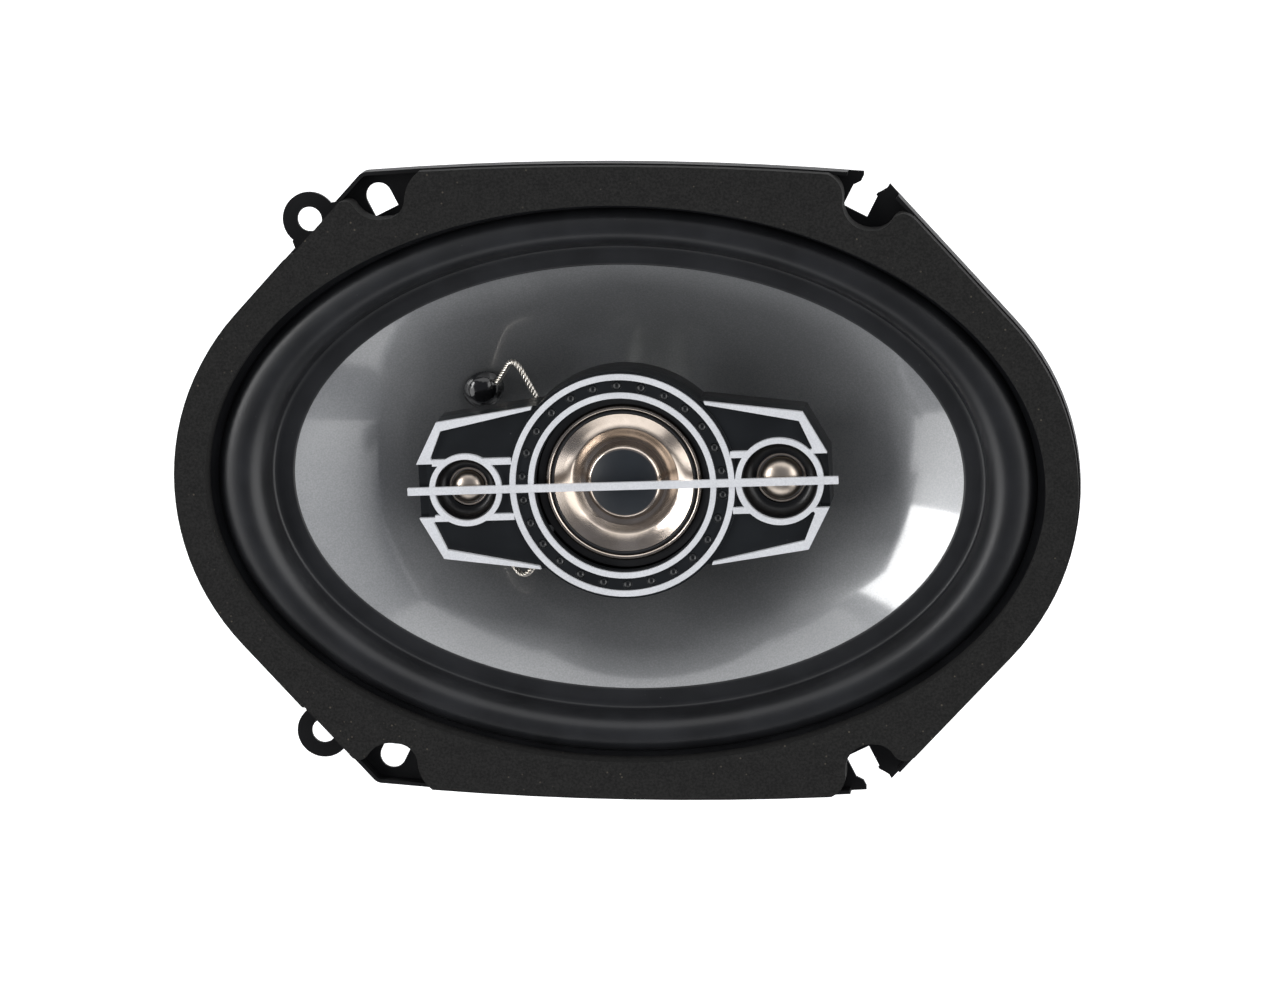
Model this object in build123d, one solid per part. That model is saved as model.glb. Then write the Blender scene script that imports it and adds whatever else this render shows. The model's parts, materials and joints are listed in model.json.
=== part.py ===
"""Four-way coaxial car speaker for a 6x8 inch opening.

Millimetres. The origin is the centre of the flange's rear face, the face that lies on the
door panel. +Z is the way the sound leaves, +X runs along the long axis of the oval.
"""
from build123d import *
import math
import os

# steel frame
sheet = 0.9                    # thickness of the stamped sheet
flange_end = 112.4             # half length of the flange
end_radius = 61.45             # radius of the round ends
corner_slope = 1.09            # fall of the slanted corner edges
flange_side = 79.8             # half width at the middle of the long edges
flange_corner = (63.4, 77.3)   # where the long edge meets the slanted edge
lip_height = 4.6               # top of the rolled lip above the rear face
mouth = (91.0, 63.5)           # outer half axes of the bowl where it leaves the flange
mouth_depth = 9.0              # depth of the nearly straight collar under the flange
collar = (90.5, 62.9)
shelf_z = -34.0                # spider shelf
shelf_outer = (50.0, 45.0)
shelf_inner = 39.0
floor_z = -42.0                # inner floor of the frame
floor_hole = 26.0
window_top = -12.5
window_bottom = -30.0

# fixing holes
ear_hole = (-77.3, 65.1)
ear_hole_r = 3.05
ear_r = 6.75
closed_slot = (57.9, 67.3)     # middle of the inner end of each slot on the side with the ears
open_slot = (57.4, 67.8)       # the same on the other side
slot_way = (0.45, 0.893)       # direction in which each slot runs outwards
slot_width = 6.45
slot_run = 4.2                 # inner end to the centre of the round end

# foam gasket
foam_top = 8.1
foam_step = 4.7
foam_bottom = 1.7
foam_mouth = (104.1, 69.9)
foam_inset = 0.35

# rubber surround
roll_outer = (102.0, 68.5)
roll_inner = (89.3, 58.8)
roll_top = 5.4
rubber = 0.6
land_z = -2.7
land_edge = (83.6, 53.6)

# cone, coil and motor
cone_rim_z = -3.4
cone_rim = (88.7, 58.2)
cone_edge = (83.7, 53.7)
cone_neck_z = -34.6
cone_wall = 1.0
neck_r = 13.7
former_r = 12.75
former_wall = 0.2
coil_r = 13.55
coil_top = -41.5
coil_bottom = -49.5
pole_r = 12.3
plate_r = 36.0
gap_r = 14.0
plate_top = floor_z - sheet
plate_thick = 5.0
magnet_r = 42.0
magnet_hole = 22.0
magnet_thick = 14.0
back_thick = 5.0
boot_wall = 1.5
boot_gap = 1.2
boot_hole_r = 9.0
magnet_top = plate_top - plate_thick
back_top = magnet_top - magnet_thick
back_z = back_top - back_thick
boot_z = back_z - boot_wall

# tweeter pod
pod_turn = 2.3                 # the pod sits a little anticlockwise of the flange
pod_r = 28.6
pod_wall = 1.2
pod_bottom = -8.0
pod_boss_bottom = -13.0
pod_split = -1.0
panel_top = 5.0
notch_floor = 3.5              # floor of the shallow notch at each tip
round_top = 5.6
trim_top = 6.4
bar_top = 6.7
wing_outer = ((21.3, 20.5), (45.4, 17.2), (51.0, 6.8))
wing_inner = ((21.6, 19.7), (44.5, 15.0), (47.4, 8.2))
small_x = 39.0
bar_half = 53.5
bar_width = 1.9
ring_outer = (27.95, 26.5)     # outer and inner radius of the large trim ring
ring_inner = (23.35, 21.95)
left_ring = (9.1, 7.75)
right_ring = (10.9, 9.5)
dimple_count = 26
dimple_r = 1.35
dimple_lift = 0.55             # height of each dimple's centre above the collar
dimple_circle = 24.95
left_dome_r = 4.0
right_dome_r = 5.3
dome_base = 0.9
collar_top = 2.1
cap_r = 8.2
cap_rise = 1.2
bolt_r = 2.5

# cords
braid_r = 0.8
tinsel_r = 0.6
eyelet = (38.3, 19.5, -20.6)   # place of each lead eyelet on the cone, left of the centre
glue_r = 5.4
glue_lift = 0.5


def disc(radius, low, high):
    """Solid round from one height to another, on the main axis."""
    return Pos(0, 0, low) * Cylinder(radius, high - low, align=(Align.CENTER, Align.CENTER, Align.MIN))


def ring(outer, inner, low, high):
    return disc(outer, low, high) - disc(inner, low - 1, high + 1)


def slab(x, y, z):
    """Box between two values on each axis."""
    size = (x[1] - x[0], y[1] - y[0], z[1] - z[0])
    middle = ((x[0] + x[1]) / 2, (y[0] + y[1]) / 2, (z[0] + z[1]) / 2)
    return Pos(*middle) * Box(*size)


def oval(axes, low, high):
    return extrude(Pos(0, 0, low) * Ellipse(*axes), high - low)


def oval_ring(outer, inner, low, high):
    return oval(outer, low, high) - oval(inner, low - 1, high + 1)


def oval_stack(sections):
    """Straight-sided solid through (half axes, height) sections."""
    return loft([Pos(0, 0, z) * Ellipse(*axes) for axes, z in sections], ruled=True)


def grow(axes, amount):
    return (axes[0] + amount, axes[1] + amount)


def turned(points):
    """Round solid from an (r, z) outline."""
    face = make_face(Polyline([(r, 0, z) for r, z in points], close=True))
    return revolve(face, Axis.Z, 360)


def prism(points, low, high):
    face = make_face(Polyline(list(points), close=True))
    return extrude(Pos(0, 0, low) * face, high - low)


def tube(points, radii, radius):
    """Round cord along straight runs joined by tangent arcs."""
    path = FilletPolyline(points, radius=radii)
    start = Plane(path @ 0, z_dir=path % 0)
    return sweep(start * Circle(radius), path=path)


def flange_outline():
    """Half of the outline above the long axis, mirrored to the whole."""
    middle_x = flange_end - end_radius
    fall = math.hypot(corner_slope, 1.0)
    touch = (middle_x + end_radius * corner_slope / fall, end_radius / fall)
    right = ThreePointArc(
        (touch[0], -touch[1]),
        (flange_end, 0),
        touch,
    )
    right_corner = Line(touch, flange_corner)
    top = ThreePointArc(
        flange_corner,
        (0, flange_side),
        (-flange_corner[0], flange_corner[1]),
    )
    left_corner = Line((-flange_corner[0], flange_corner[1]), (-touch[0], touch[1]))
    left = ThreePointArc(
        (-touch[0], touch[1]),
        (-flange_end, 0),
        (-touch[0], -touch[1]),
    )
    low_left = Line((-touch[0], -touch[1]), (-flange_corner[0], -flange_corner[1]))
    low = ThreePointArc(
        (-flange_corner[0], -flange_corner[1]),
        (0, -flange_side),
        (flange_corner[0], -flange_corner[1]),
    )
    low_right = Line((flange_corner[0], -flange_corner[1]), (touch[0], -touch[1]))
    face = make_face([right, right_corner, top, left_corner, left, low_left, low, low_right])
    corners = [v for v in face.vertices() if abs(v.Y) > flange_corner[1] - 1]
    return fillet(corners, 3.0)


def slot_cutter(side_x, side_y, closed):
    """Corner slot: square at its inner end, round or open at its outer end."""
    ux, uy = slot_way[0] * side_x, slot_way[1] * side_y
    nx, ny = uy, -ux
    start = closed_slot if closed else open_slot
    mx, my = start[0] * side_x, start[1] * side_y
    half = slot_width / 2
    run = slot_run if closed else slot_run + 1.6
    corners = [
        (mx + nx * half, my + ny * half),
        (mx + nx * half + ux * run, my + ny * half + uy * run),
        (mx - nx * half + ux * run, my - ny * half + uy * run),
        (mx - nx * half, my - ny * half),
    ]
    cutter = prism(corners, -2, lip_height + 2)
    centre = (mx + ux * slot_run, my + uy * slot_run)
    if closed:
        return cutter + Pos(centre[0], centre[1], 0) * disc(half, -2, lip_height + 2)
    mouth_points = [
        (56.4, 73.0),
        (57.3, 74.4),
        (58.9, 75.2),
        (59.6, 76.6),
        (59.7, 82.0),
        (69.0, 80.0),
        (65.3, 73.6),
        (64.0, 72.8),
        (62.8, 72.2),
        (62.2, 71.0),
        (60.5, 70.5),
    ]
    opening = prism([(x * side_x, y * side_y) for x, y in mouth_points], -2, lip_height + 2)
    return cutter + opening


def lip_gaps():
    """Stretches where the flange is flat to its edge, with no lip."""
    gaps = []
    for side_y in (1, -1):
        gaps.append(Pos(62.6, side_y * 76.2, 0) * disc(6.9, sheet, 20))
        gaps.append(Pos(-77.4, side_y * 61.9, 0) * disc(9.0, sheet, 20))
    return gaps


def basket():
    """Stamped steel frame: lipped flange, windowed bowl, spider shelf and floor."""
    outline = flange_outline()
    inside = offset(outline, amount=-sheet)
    plate = extrude(outline, sheet)
    lip = extrude(outline, lip_height) - extrude(inside, lip_height + 1)
    for gap in lip_gaps():
        lip -= gap
    body = plate + lip
    for side_y in (1, -1):
        ear = Pos(ear_hole[0], side_y * ear_hole[1], 0) * disc(ear_r, 0, sheet)
        neck = prism(
            [
                (-70.6, side_y * 69.4),
                (-73.0, side_y * 69.0),
                (-81.8, side_y * 59.6),
                (-80.9, side_y * 57.2),
                (-66.0, side_y * 60.0),
            ],
            0,
            sheet,
        )
        body += ear + neck
    for side_x, closed in ((-1, True), (1, False)):
        for side_y in (1, -1):
            body -= slot_cutter(side_x, side_y, closed)
    for side_y in (1, -1):
        body -= Pos(ear_hole[0], side_y * ear_hole[1], 0) * disc(ear_hole_r, -1, sheet + 1)
    body -= oval(grow(mouth, -sheet), -1, sheet + 1)

    skin = [(mouth, sheet), (collar, -mouth_depth), (shelf_outer, shelf_z - sheet)]
    hollow = [(grow(axes, -sheet), z) for axes, z in skin]
    bowl = oval_stack(skin) - oval_stack(hollow)
    bowl -= slab((55, 105), (-19, 19), (window_bottom, window_top))
    bowl -= slab((-105, -55), (-19, 19), (window_bottom, window_top))
    bowl -= slab((-105, -50), (-14, 14), (shelf_z, window_bottom + 1))
    for side_x in (1, -1):
        for side_y in (1, -1):
            x_span = sorted((7 * side_x, 45 * side_x))
            y_span = sorted((30 * side_y, 70 * side_y))
            bowl -= slab(x_span, y_span, (window_bottom + 1, window_top))
    body += bowl

    shelf = oval(grow(shelf_outer, -sheet / 2), shelf_z - sheet, shelf_z)
    shelf -= disc(shelf_inner - sheet, shelf_z - 2, shelf_z + 1)
    tongue = slab((-66, -47), (-12, 12), (shelf_z - sheet, shelf_z))
    cup = ring(shelf_inner, shelf_inner - sheet, floor_z - sheet, shelf_z)
    floor = ring(shelf_inner, floor_hole, floor_z - sheet, floor_z)
    body += shelf + tongue + cup + floor
    for angle in range(45, 360, 90):
        hole = Rot(0, 0, angle) * Pos(31, 0, 0) * disc(2.0, floor_z - 2, floor_z + 1)
        body -= hole
    for y in (-6.5, 6.5):
        body -= Pos(-60, y, 0) * disc(1.5, shelf_z - 2, shelf_z + 1)
    return body


def foam_notch(corners, arcs, side_x, side_y):
    """Cutter round a corner slot: a chain of arcs closed outside the flange."""
    def place(point):
        return (point[0] * side_x, point[1] * side_y)

    here = place(corners[0])
    edges = []
    for via, end in arcs:
        edges.append(ThreePointArc(here, place(via), place(end)))
        here = place(end)
    edges.append(Polyline([here] + [place(point) for point in corners[1:]] + [place(corners[0])]))
    return extrude(Pos(0, 0, -1) * make_face(edges), foam_top + 2)


def front_gasket():
    """Foam ring, cut back round the four corner slots and the two ear holes."""
    outline = flange_outline()
    upper = extrude(Pos(0, 0, foam_step) * offset(outline, amount=-foam_inset), foam_top - foam_step)
    inner = offset(outline, amount=-(sheet + 0.15))
    lower = extrude(Pos(0, 0, foam_bottom) * inner, foam_step - foam_bottom)
    foam = upper + lower
    foam -= oval(foam_mouth, -1, foam_top + 1)
    open_arcs = [
        ((53.5, 76.2), (54.9, 71.6)),
        ((57.4, 65.5), (62.2, 64.1)),
        ((65.2, 64.9), (67.0, 66.8)),
        ((69.4, 68.2), (71.9, 67.3)),
    ]
    open_rest = [(49.4, 78.3), (78.0, 72.0), (78.0, 86.0), (49.4, 86.0)]
    closed_arcs = [
        ((51.0, 75.4), (52.3, 71.4)),
        ((54.0, 67.6), (57.8, 66.2)),
        ((62.4, 66.9), (65.0, 69.4)),
        ((67.4, 70.6), (69.6, 69.2)),
    ]
    closed_rest = [(48.4, 78.2), (80.6, 57.3), (92.0, 57.3), (92.0, 86.0), (48.4, 86.0)]
    for side_y in (1, -1):
        foam -= foam_notch(open_rest, open_arcs, 1, side_y)
        foam -= foam_notch(closed_rest, closed_arcs, -1, side_y)
    return foam


def surround():
    """Half-roll rubber edge with its glued outer flange and its inner land."""
    mid = tuple((o + i) / 2 for o, i in zip(roll_outer, roll_inner))
    low = sheet + 0.1
    dome = oval_stack([
        (roll_outer, low),
        (grow(roll_outer, -1.2), 3.2),
        (grow(roll_outer, -3.2), 4.8),
        (grow(mid, 0.6), roll_top),
    ])
    bowl = oval_stack([
        (roll_inner, low - 0.01),
        (grow(roll_inner, 0.4), 2.2),
        (grow(roll_inner, 2.0), 4.4),
        (grow(mid, -0.6), roll_top + 0.01),
    ])
    dome_in = oval_stack([
        (grow(roll_outer, -rubber), low - 0.02),
        (grow(roll_outer, -1.2 - rubber), 3.0),
        (grow(roll_outer, -3.2 - rubber / 2), 4.2),
        (grow(mid, 0.6), roll_top - rubber),
    ])
    bowl_in = oval_stack([
        (grow(roll_inner, rubber), low - 0.03),
        (grow(roll_inner, 0.4 + rubber), 2.0),
        (grow(roll_inner, 2.0 + rubber / 2), 3.8),
        (grow(mid, -0.6), roll_top - rubber + 0.01),
    ])
    roll = (dome - bowl) - (dome_in - bowl_in)
    edge = oval_ring((105.6, 71.6), grow(roll_outer, -rubber), low, low + rubber)
    wall = oval_ring(grow(roll_inner, rubber), roll_inner, land_z - rubber, low)
    land = oval_ring(grow(roll_inner, 0.1), land_edge, land_z - rubber, land_z)
    return roll + edge + wall + land


def cone():
    """Pressed paper cone: flat glued rim, oval at the edge and round at the neck."""
    back = oval_stack([(grow(cone_edge, 0.8), cone_rim_z - cone_wall), ((neck_r, neck_r), cone_neck_z)])
    body = back - cone_front_air()
    body -= disc(neck_r - 0.45, cone_neck_z - 1, cone_neck_z + 3)
    rim = oval_ring(cone_rim, cone_edge, cone_rim_z - cone_wall, cone_rim_z)
    for side in (1, -1):
        hole = Pos(-eyelet[0], side * eyelet[1], eyelet[2]) * disc(1.2, -3, 3)
        body -= hole
    return body + rim


def voice_coil_former():
    return ring(former_r + former_wall, former_r, coil_bottom - 0.5, cone_neck_z + 2.4)


def voice_coil():
    return ring(coil_r, former_r + former_wall, coil_bottom, coil_top)


def neck_joint():
    """Fillet of adhesive between the cone's neck and the former."""
    inner = former_r + former_wall
    outer = neck_r - 0.45
    return turned([
        (inner, cone_neck_z + 0.2),
        (outer, cone_neck_z + 0.2),
        (outer, cone_neck_z + 1.0),
        (inner, cone_neck_z + 2.0),
    ])


def cone_eyelets():
    """Two hollow brass eyelets that clamp the leads to the cone."""
    pair = []
    for side in (1, -1):
        barrel = ring(1.15, 0.7, -2.3, 2.3)
        flange = ring(2.0, 0.7, -2.6, -2.3)
        pair.append(Pos(-eyelet[0], side * eyelet[1], eyelet[2]) * (barrel + flange))
    return Part() + pair


def lead_glue():
    """Domed blobs of black adhesive over the eyelets on the front of the cone."""
    pair = []
    air = cone_front_air()
    for side in (1, -1):
        centre = Pos(-eyelet[0], side * eyelet[1], eyelet[2] + glue_lift)
        blob = (centre * Sphere(glue_r)) & air
        blob -= Pos(-eyelet[0], side * eyelet[1], eyelet[2]) * disc(1.2, -3, 2.35)
        pair.append(blob)
    return Part() + pair


def cone_front_air():
    """Air space in front of the cone's front face."""
    return oval_stack([
        (cone_edge, cone_rim_z + 0.01),
        ((neck_r - 0.4, neck_r - 0.4), cone_neck_z + cone_wall),
    ])


def spider():
    """Corrugated cloth disc between the shelf and the former."""
    top = [(13.3, -35.2)]
    waves = 5
    first, last = 16.5, 36.3
    step = (last - first) / (2 * waves)
    for i in range(2 * waves + 1):
        top.append((first + i * step, -34.0 + (0.9 if i % 2 else -0.7)))
    top += [(37.8, shelf_z + 0.6), (44.2, shelf_z + 0.6)]
    under = [(r, z - 0.6) for r, z in reversed(top[:-2])]
    return turned(top + [(44.2, shelf_z), (37.8, shelf_z)] + under)


def front_plate():
    body = ring(plate_r, gap_r, magnet_top, plate_top)
    for angle in range(45, 360, 90):
        body -= Rot(0, 0, angle) * Pos(31, 0, 0) * disc(1.9, plate_top - 4.2, plate_top + 1)
    return body


def frame_rivets():
    """Four rivets that stake the frame's floor to the front plate."""
    items = []
    for angle in range(45, 360, 90):
        head = disc(3.1, floor_z, floor_z + 1.1)
        shank = disc(1.9, plate_top - 4.2, floor_z)
        items.append(Rot(0, 0, angle) * Pos(31, 0, 0) * (head + shank))
    return Part() + items


def magnet():
    body = ring(magnet_r, magnet_hole, back_top, magnet_top)
    return chamfer(body.edges().filter_by(GeomType.CIRCLE), 0.8)


def yoke():
    """Back plate and pole in one forging, bored for the pod's bolt."""
    body = disc(plate_r, back_z, back_top) + disc(pole_r, back_top, floor_z - 0.4)
    body -= disc(bolt_r + 0.1, back_z - 1, floor_z + 1)
    body -= disc(6.4, back_z - 1, back_z + 4.0)
    return body


def magnet_boot():
    """Rubber cup over the magnet, open in the middle of its back."""
    inner = magnet_r + boot_gap
    outer = inner + boot_wall
    mouth_r = plate_r + 0.8
    return turned([
        (boot_hole_r, boot_z),
        (outer - 1.5, boot_z),
        (outer, boot_z + 1.5),
        (outer, magnet_top + 0.6),
        (outer - 1.0, magnet_top + 1.8),
        (mouth_r, magnet_top + 1.8),
        (mouth_r, magnet_top + 0.3),
        (inner, magnet_top + 0.3),
        (inner, back_z),
        (boot_hole_r, back_z),
    ])


def terminal_board():
    """Phenolic strip on the frame's tongue."""
    board = slab((-68, -54), (-13, 13), (shelf_z, shelf_z + 1.6))
    for y in (-6.5, 6.5):
        board -= Pos(-60, y, 0) * disc(1.5, shelf_z - 1, shelf_z + 3)
    return board


def spade(y, width):
    """Push-on blade with its raised solder tag."""
    low = shelf_z + 1.6
    blade = slab((-79, -55.5), (y - width / 2, y + width / 2), (low, low + 0.8))
    blade -= Pos(-75, y, 0) * disc(0.9, low - 1, low + 2)
    blade -= Pos(-60, y, 0) * disc(1.5, low - 1, low + 2)
    nose = [blade.edges().filter_by(Axis.Z).sort_by(Axis.X)[i] for i in (0, 1)]
    blade = chamfer(nose, 1.2)
    tag = slab((-56.3, -55.5), (y - 1.4, y + 1.4), (low, low + 6.0))
    tag -= Pos(-56, y, low + 4.4) * Rot(0, 90, 0) * Cylinder(0.7, 4)
    return blade + tag


def terminal_rivets():
    items = []
    for y in (-6.5, 6.5):
        shank = disc(1.5, shelf_z - sheet, shelf_z + 2.4)
        heads = disc(2.3, shelf_z + 2.4, shelf_z + 3.2) + disc(2.3, shelf_z - sheet - 0.8, shelf_z - sheet)
        items.append(Pos(-60, y, 0) * (shank + heads))
    return Part() + items


def rear_lead(side):
    """Tinsel lead from a solder tag through the end window to the cone's eyelet."""
    points = [
        (-56.9, side * 6.5, -27.8),
        (-60.5, side * 8.0, -25.6),
        (-60.6, side * 12.0, -21.6),
        (-55.6, side * 16.4, -20.6),
        (-49.2, side * 19.0, -22.0),
        (-43.6, side * 19.5, -23.9),
        (-39.2, side * 19.5, -24.1),
    ]
    return tube(points, corner_radii(points), tinsel_r)


def front_lead(points):
    return tube(points, corner_radii(points), braid_r)


def corner_radii(points):
    """Largest arc that each corner's two runs leave room for."""
    radii = []
    for before, here, after in zip(points, points[1:], points[2:]):
        run_in = Vector(*here) - Vector(*before)
        run_out = Vector(*after) - Vector(*here)
        turn = math.radians(run_in.get_angle(run_out))
        radii.append(0.45 * min(run_in.length, run_out.length) / math.tan(turn / 2))
    return radii


def tweeter_post():
    """Metal tube that carries the pod above the pole."""
    low, high = floor_z - 0.4, pod_boss_bottom
    body = disc(5.0, low, high) + disc(9.8, low, low + 1.4) + disc(9.0, high - 1.4, high)
    return body - disc(bolt_r + 0.1, low - 1, high + 1)


def pod_bolt():
    """Long hex bolt from the back of the yoke into the pod's nut."""
    head = Pos(0, 0, back_z + 0.4) * extrude(RegularPolygon(5.6, 6), 3.6)
    return head + disc(bolt_r, back_z + 4.0, -7.4)


def pod_nut():
    body = Pos(0, 0, -11.6) * extrude(RegularPolygon(4.9, 6), 4.0)
    return body - disc(bolt_r, -12, -7)


def pod_outline():
    points = [(x, y) for x, y in wing_outer] + [(x, -y) for x, y in reversed(wing_outer)]
    wing = make_face(Polyline([(0, 20.5)] + points + [(0, -20.5)], close=True))
    return Circle(pod_r) + wing + mirror(wing, Plane.YZ)


def screw_places():
    return [(x, y) for x in (-31.5, 31.5) for y in (-14.6, 14.6)]


def pod_base():
    """Rear tray of the pod, with the boss that meets the post."""
    outline = pod_outline()
    inside = offset(outline, amount=-pod_wall)
    tray = extrude(Pos(0, 0, pod_bottom) * outline, pod_split - pod_bottom)
    tray = chamfer(tray.faces().sort_by(Axis.Z)[0].edges(), 1.0)
    tray -= extrude(Pos(0, 0, pod_bottom + pod_wall) * inside, 20)
    boss = disc(15.0, pod_boss_bottom, pod_bottom + 0.2)
    tray += chamfer(boss.faces().sort_by(Axis.Z)[0].edges(), 1.5)
    tray -= disc(bolt_r + 0.1, -20, 0)
    tray -= Pos(0, 0, -11.6) * extrude(RegularPolygon(5.05, 6), 12)
    for x, y in screw_places():
        tray += Pos(x, y, 0) * disc(2.4, pod_bottom + 0.1, pod_split)
        tray -= Pos(x, y, 0) * disc(1.3, pod_bottom - 1, pod_split + 1)
        tray -= Pos(x, y, 0) * disc(2.3, pod_bottom - 1, pod_bottom + 1.0)
    for side in (1, -1):
        tray -= Pos(-20.6, side * 13.2, 0) * disc(1.1, pod_bottom - 1, pod_bottom + 2)
    return tray


def pod_bezel():
    """Front shell: raised round collar with its dimples, two sunken wings."""
    outline = pod_outline()
    inside = offset(outline, amount=-pod_wall)
    shell = extrude(Pos(0, 0, pod_split) * outline, panel_top - pod_split)
    shell -= extrude(Pos(0, 0, pod_split - 1) * inside, panel_top - 1.6 - pod_split + 1)
    shell += ring(pod_r, 21.6, panel_top - 1.6, round_top)
    shell -= disc(21.6, -3, 10)
    shell -= Pos(-small_x, 0, 0) * disc(left_ring[1], -3, 10)
    shell -= Pos(small_x, 0, 0) * disc(right_ring[1], -3, 10)
    for side in (1, -1):
        span = sorted((side * 48.6, side * 60))
        shell -= slab(span, (-6.6, 6.6), (notch_floor, 10))
        rim = Pos(side * small_x, 0, 0) * disc((left_ring if side < 0 else right_ring)[0], 3.4, panel_top)
        shell += rim & extrude(Pos(0, 0, pod_split) * inside, 10)
        opening = left_ring[1] if side < 0 else right_ring[1]
        shell -= Pos(side * small_x, 0, 0) * disc(opening, -3, 10)
    for x, y in screw_places():
        shell += Pos(x, y, 0) * disc(2.4, pod_split, 3.6)
        shell -= Pos(x, y, 0) * disc(1.2, pod_split - 1, 3.0)
    for i in range(dimple_count):
        place = Rot(0, 0, (i + 0.5) * 360 / dimple_count) * Pos(dimple_circle, 0, round_top + dimple_lift)
        shell -= place * Sphere(dimple_r)
    return shell


def trim_wing():
    """Upper right wing outline with the line that runs to the large ring."""
    outer, inner = wing_outer, wing_inner
    corners = [*outer, (46.6, 6.8), *reversed(inner)]
    band = prism(corners, panel_top, trim_top)
    line = slab((27.2, 47.0), (6.2, 7.8), (panel_top, trim_top))
    return band + line


def silver_trim():
    """One moulding: two rings, the wing outlines, two small rings and the cross bar."""
    quarter = trim_wing()
    wings = quarter + mirror(quarter, Plane.XZ)
    wings += mirror(wings, Plane.YZ)
    wings -= Pos(-small_x, 0, 0) * disc(left_ring[1], 0, 10)
    wings -= Pos(small_x, 0, 0) * disc(right_ring[1], 0, 10)
    wings -= disc(ring_outer[0] - 0.1, 0, 10)
    wings -= disc(pod_r, 0, round_top)
    body = wings + ring(*ring_outer, round_top, trim_top) + ring(*ring_inner, round_top, trim_top)
    collar_room = disc(pod_r, 0, round_top)
    body += Pos(-small_x, 0, 0) * ring(*left_ring, panel_top, trim_top) - collar_room
    body += Pos(small_x, 0, 0) * ring(*right_ring, panel_top, trim_top) - collar_room
    body += slab((-bar_half, bar_half), (-bar_width / 2, bar_width / 2), (round_top + 0.05, bar_top))
    return body


def mid_frame():
    """Round frame of the midrange driver, under the bezel's opening."""
    return turned([
        (10.6, -2.9),
        (10.6, -2.5),
        (13.8, -2.5),
        (18.2, 0.9),
        (18.2, 1.6),
        (21.4, 1.6),
        (21.4, 0.6),
        (19.0, 0.6),
        (14.2, -2.9),
    ])


def mid_rim_ring():
    return ring(19.7, 18.15, 1.6, 2.7)


def mid_surround():
    """Narrow rubber edge of the midrange."""
    return turned([(17.45, 2.1), (17.45, 2.4), (17.8, 2.55), (18.15, 2.3), (18.15, 2.0), (17.8, 2.25)])


def mid_cone():
    """Metallised horn-shaped cone: flat outside, steep towards the collar."""
    top = [(10.0, -1.2), (11.4, -0.6), (12.9, 0.5), (14.2, 1.55), (15.6, 2.05), (17.3, 2.4)]
    under = [(r, z - 0.35) for r, z in reversed(top)]
    return turned(top + under)


def mid_cap():
    """Charcoal dome on the collar."""
    sphere_r = (cap_r ** 2 + cap_rise ** 2) / (2 * cap_rise)
    ball = Pos(0, 0, collar_top + cap_rise - sphere_r) * Sphere(sphere_r)
    inner = Pos(0, 0, collar_top - 0.3 + cap_rise - sphere_r) * Sphere(sphere_r)
    return (ball & disc(cap_r, collar_top, collar_top + 5)) - inner


def mid_centre_ring():
    """Raised collar between the midrange cone and its cap."""
    return turned([
        (9.1, -1.55),
        (10.0, -1.55),
        (10.0, -1.2),
        (8.5, collar_top),
        (8.0, collar_top),
        (9.1, -0.6),
    ])


def mid_coil():
    return ring(9.25, 9.1, -4.7, -1.55) + ring(9.7, 9.25, -4.7, -2.6)


def mid_yoke():
    return ring(12.0, 10.4, -6.7, -2.9) + disc(12.0, -6.7, -5.4)


def mid_magnet():
    return disc(8.0, -5.4, -3.4)


def mid_top_plate():
    return disc(8.5, -3.4, -2.4)


def small_cup(outer, inner, place):
    """Glossy dished plate round a small tweeter."""
    high = panel_top - 0.1
    span = outer - inner
    cup = turned([
        (inner, 0.9),
        (inner, 1.5),
        (inner + 0.25 * span, 1.8),
        (inner + 0.6 * span, 2.9),
        (outer - 0.4, high),
        (outer, high),
        (outer, 0.9),
    ])
    return Pos(place, 0, 0) * cup


def small_dome(radius, place):
    """Metallised dome diaphragm with its short skirt."""
    rise = 0.8 * radius
    sphere_r = (radius ** 2 + rise ** 2) / (2 * rise)
    ball = Pos(0, 0, dome_base + rise - sphere_r) * Sphere(sphere_r)
    inner = Pos(0, 0, dome_base - 0.3 + rise - sphere_r) * Sphere(sphere_r)
    dome = (ball & disc(radius, dome_base, 12)) - inner
    return Pos(place, 0, 0) * dome


def small_coil(radius, place):
    return Pos(place, 0, 0) * ring(radius - 0.3, radius - 0.75, -1.0, dome_base)


def small_edge(radius, gap, place):
    """Thin metallised ring that frames a dome."""
    return Pos(place, 0, 0) * ring(radius + gap, radius + 0.25, 0.9, 1.35)


def small_motor(radius, place):
    """Cup magnet of a small tweeter, with the slot its coil runs in."""
    body = disc(radius + 1.9, -4.6, 0.6) - ring(radius, radius - 1.1, -1.6, 1.0)
    return Pos(place, 0, 0) * body


def capacitor(x, y, radius, length):
    """Crossover capacitor lying along the wing."""
    can = Pos(x, y, pod_bottom + pod_wall + radius + 0.1) * Rot(0, 90, 0) * Cylinder(radius, length)
    return fillet(can.edges(), 0.4)


def pod_screws():
    items = []
    for x, y in screw_places():
        head = disc(2.2, pod_bottom - 0.1, pod_bottom + 1.0)
        items.append(Pos(x, y, 0) * (head + disc(1.2, pod_bottom + 1.0, 2.4)))
    return Part() + items


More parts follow.
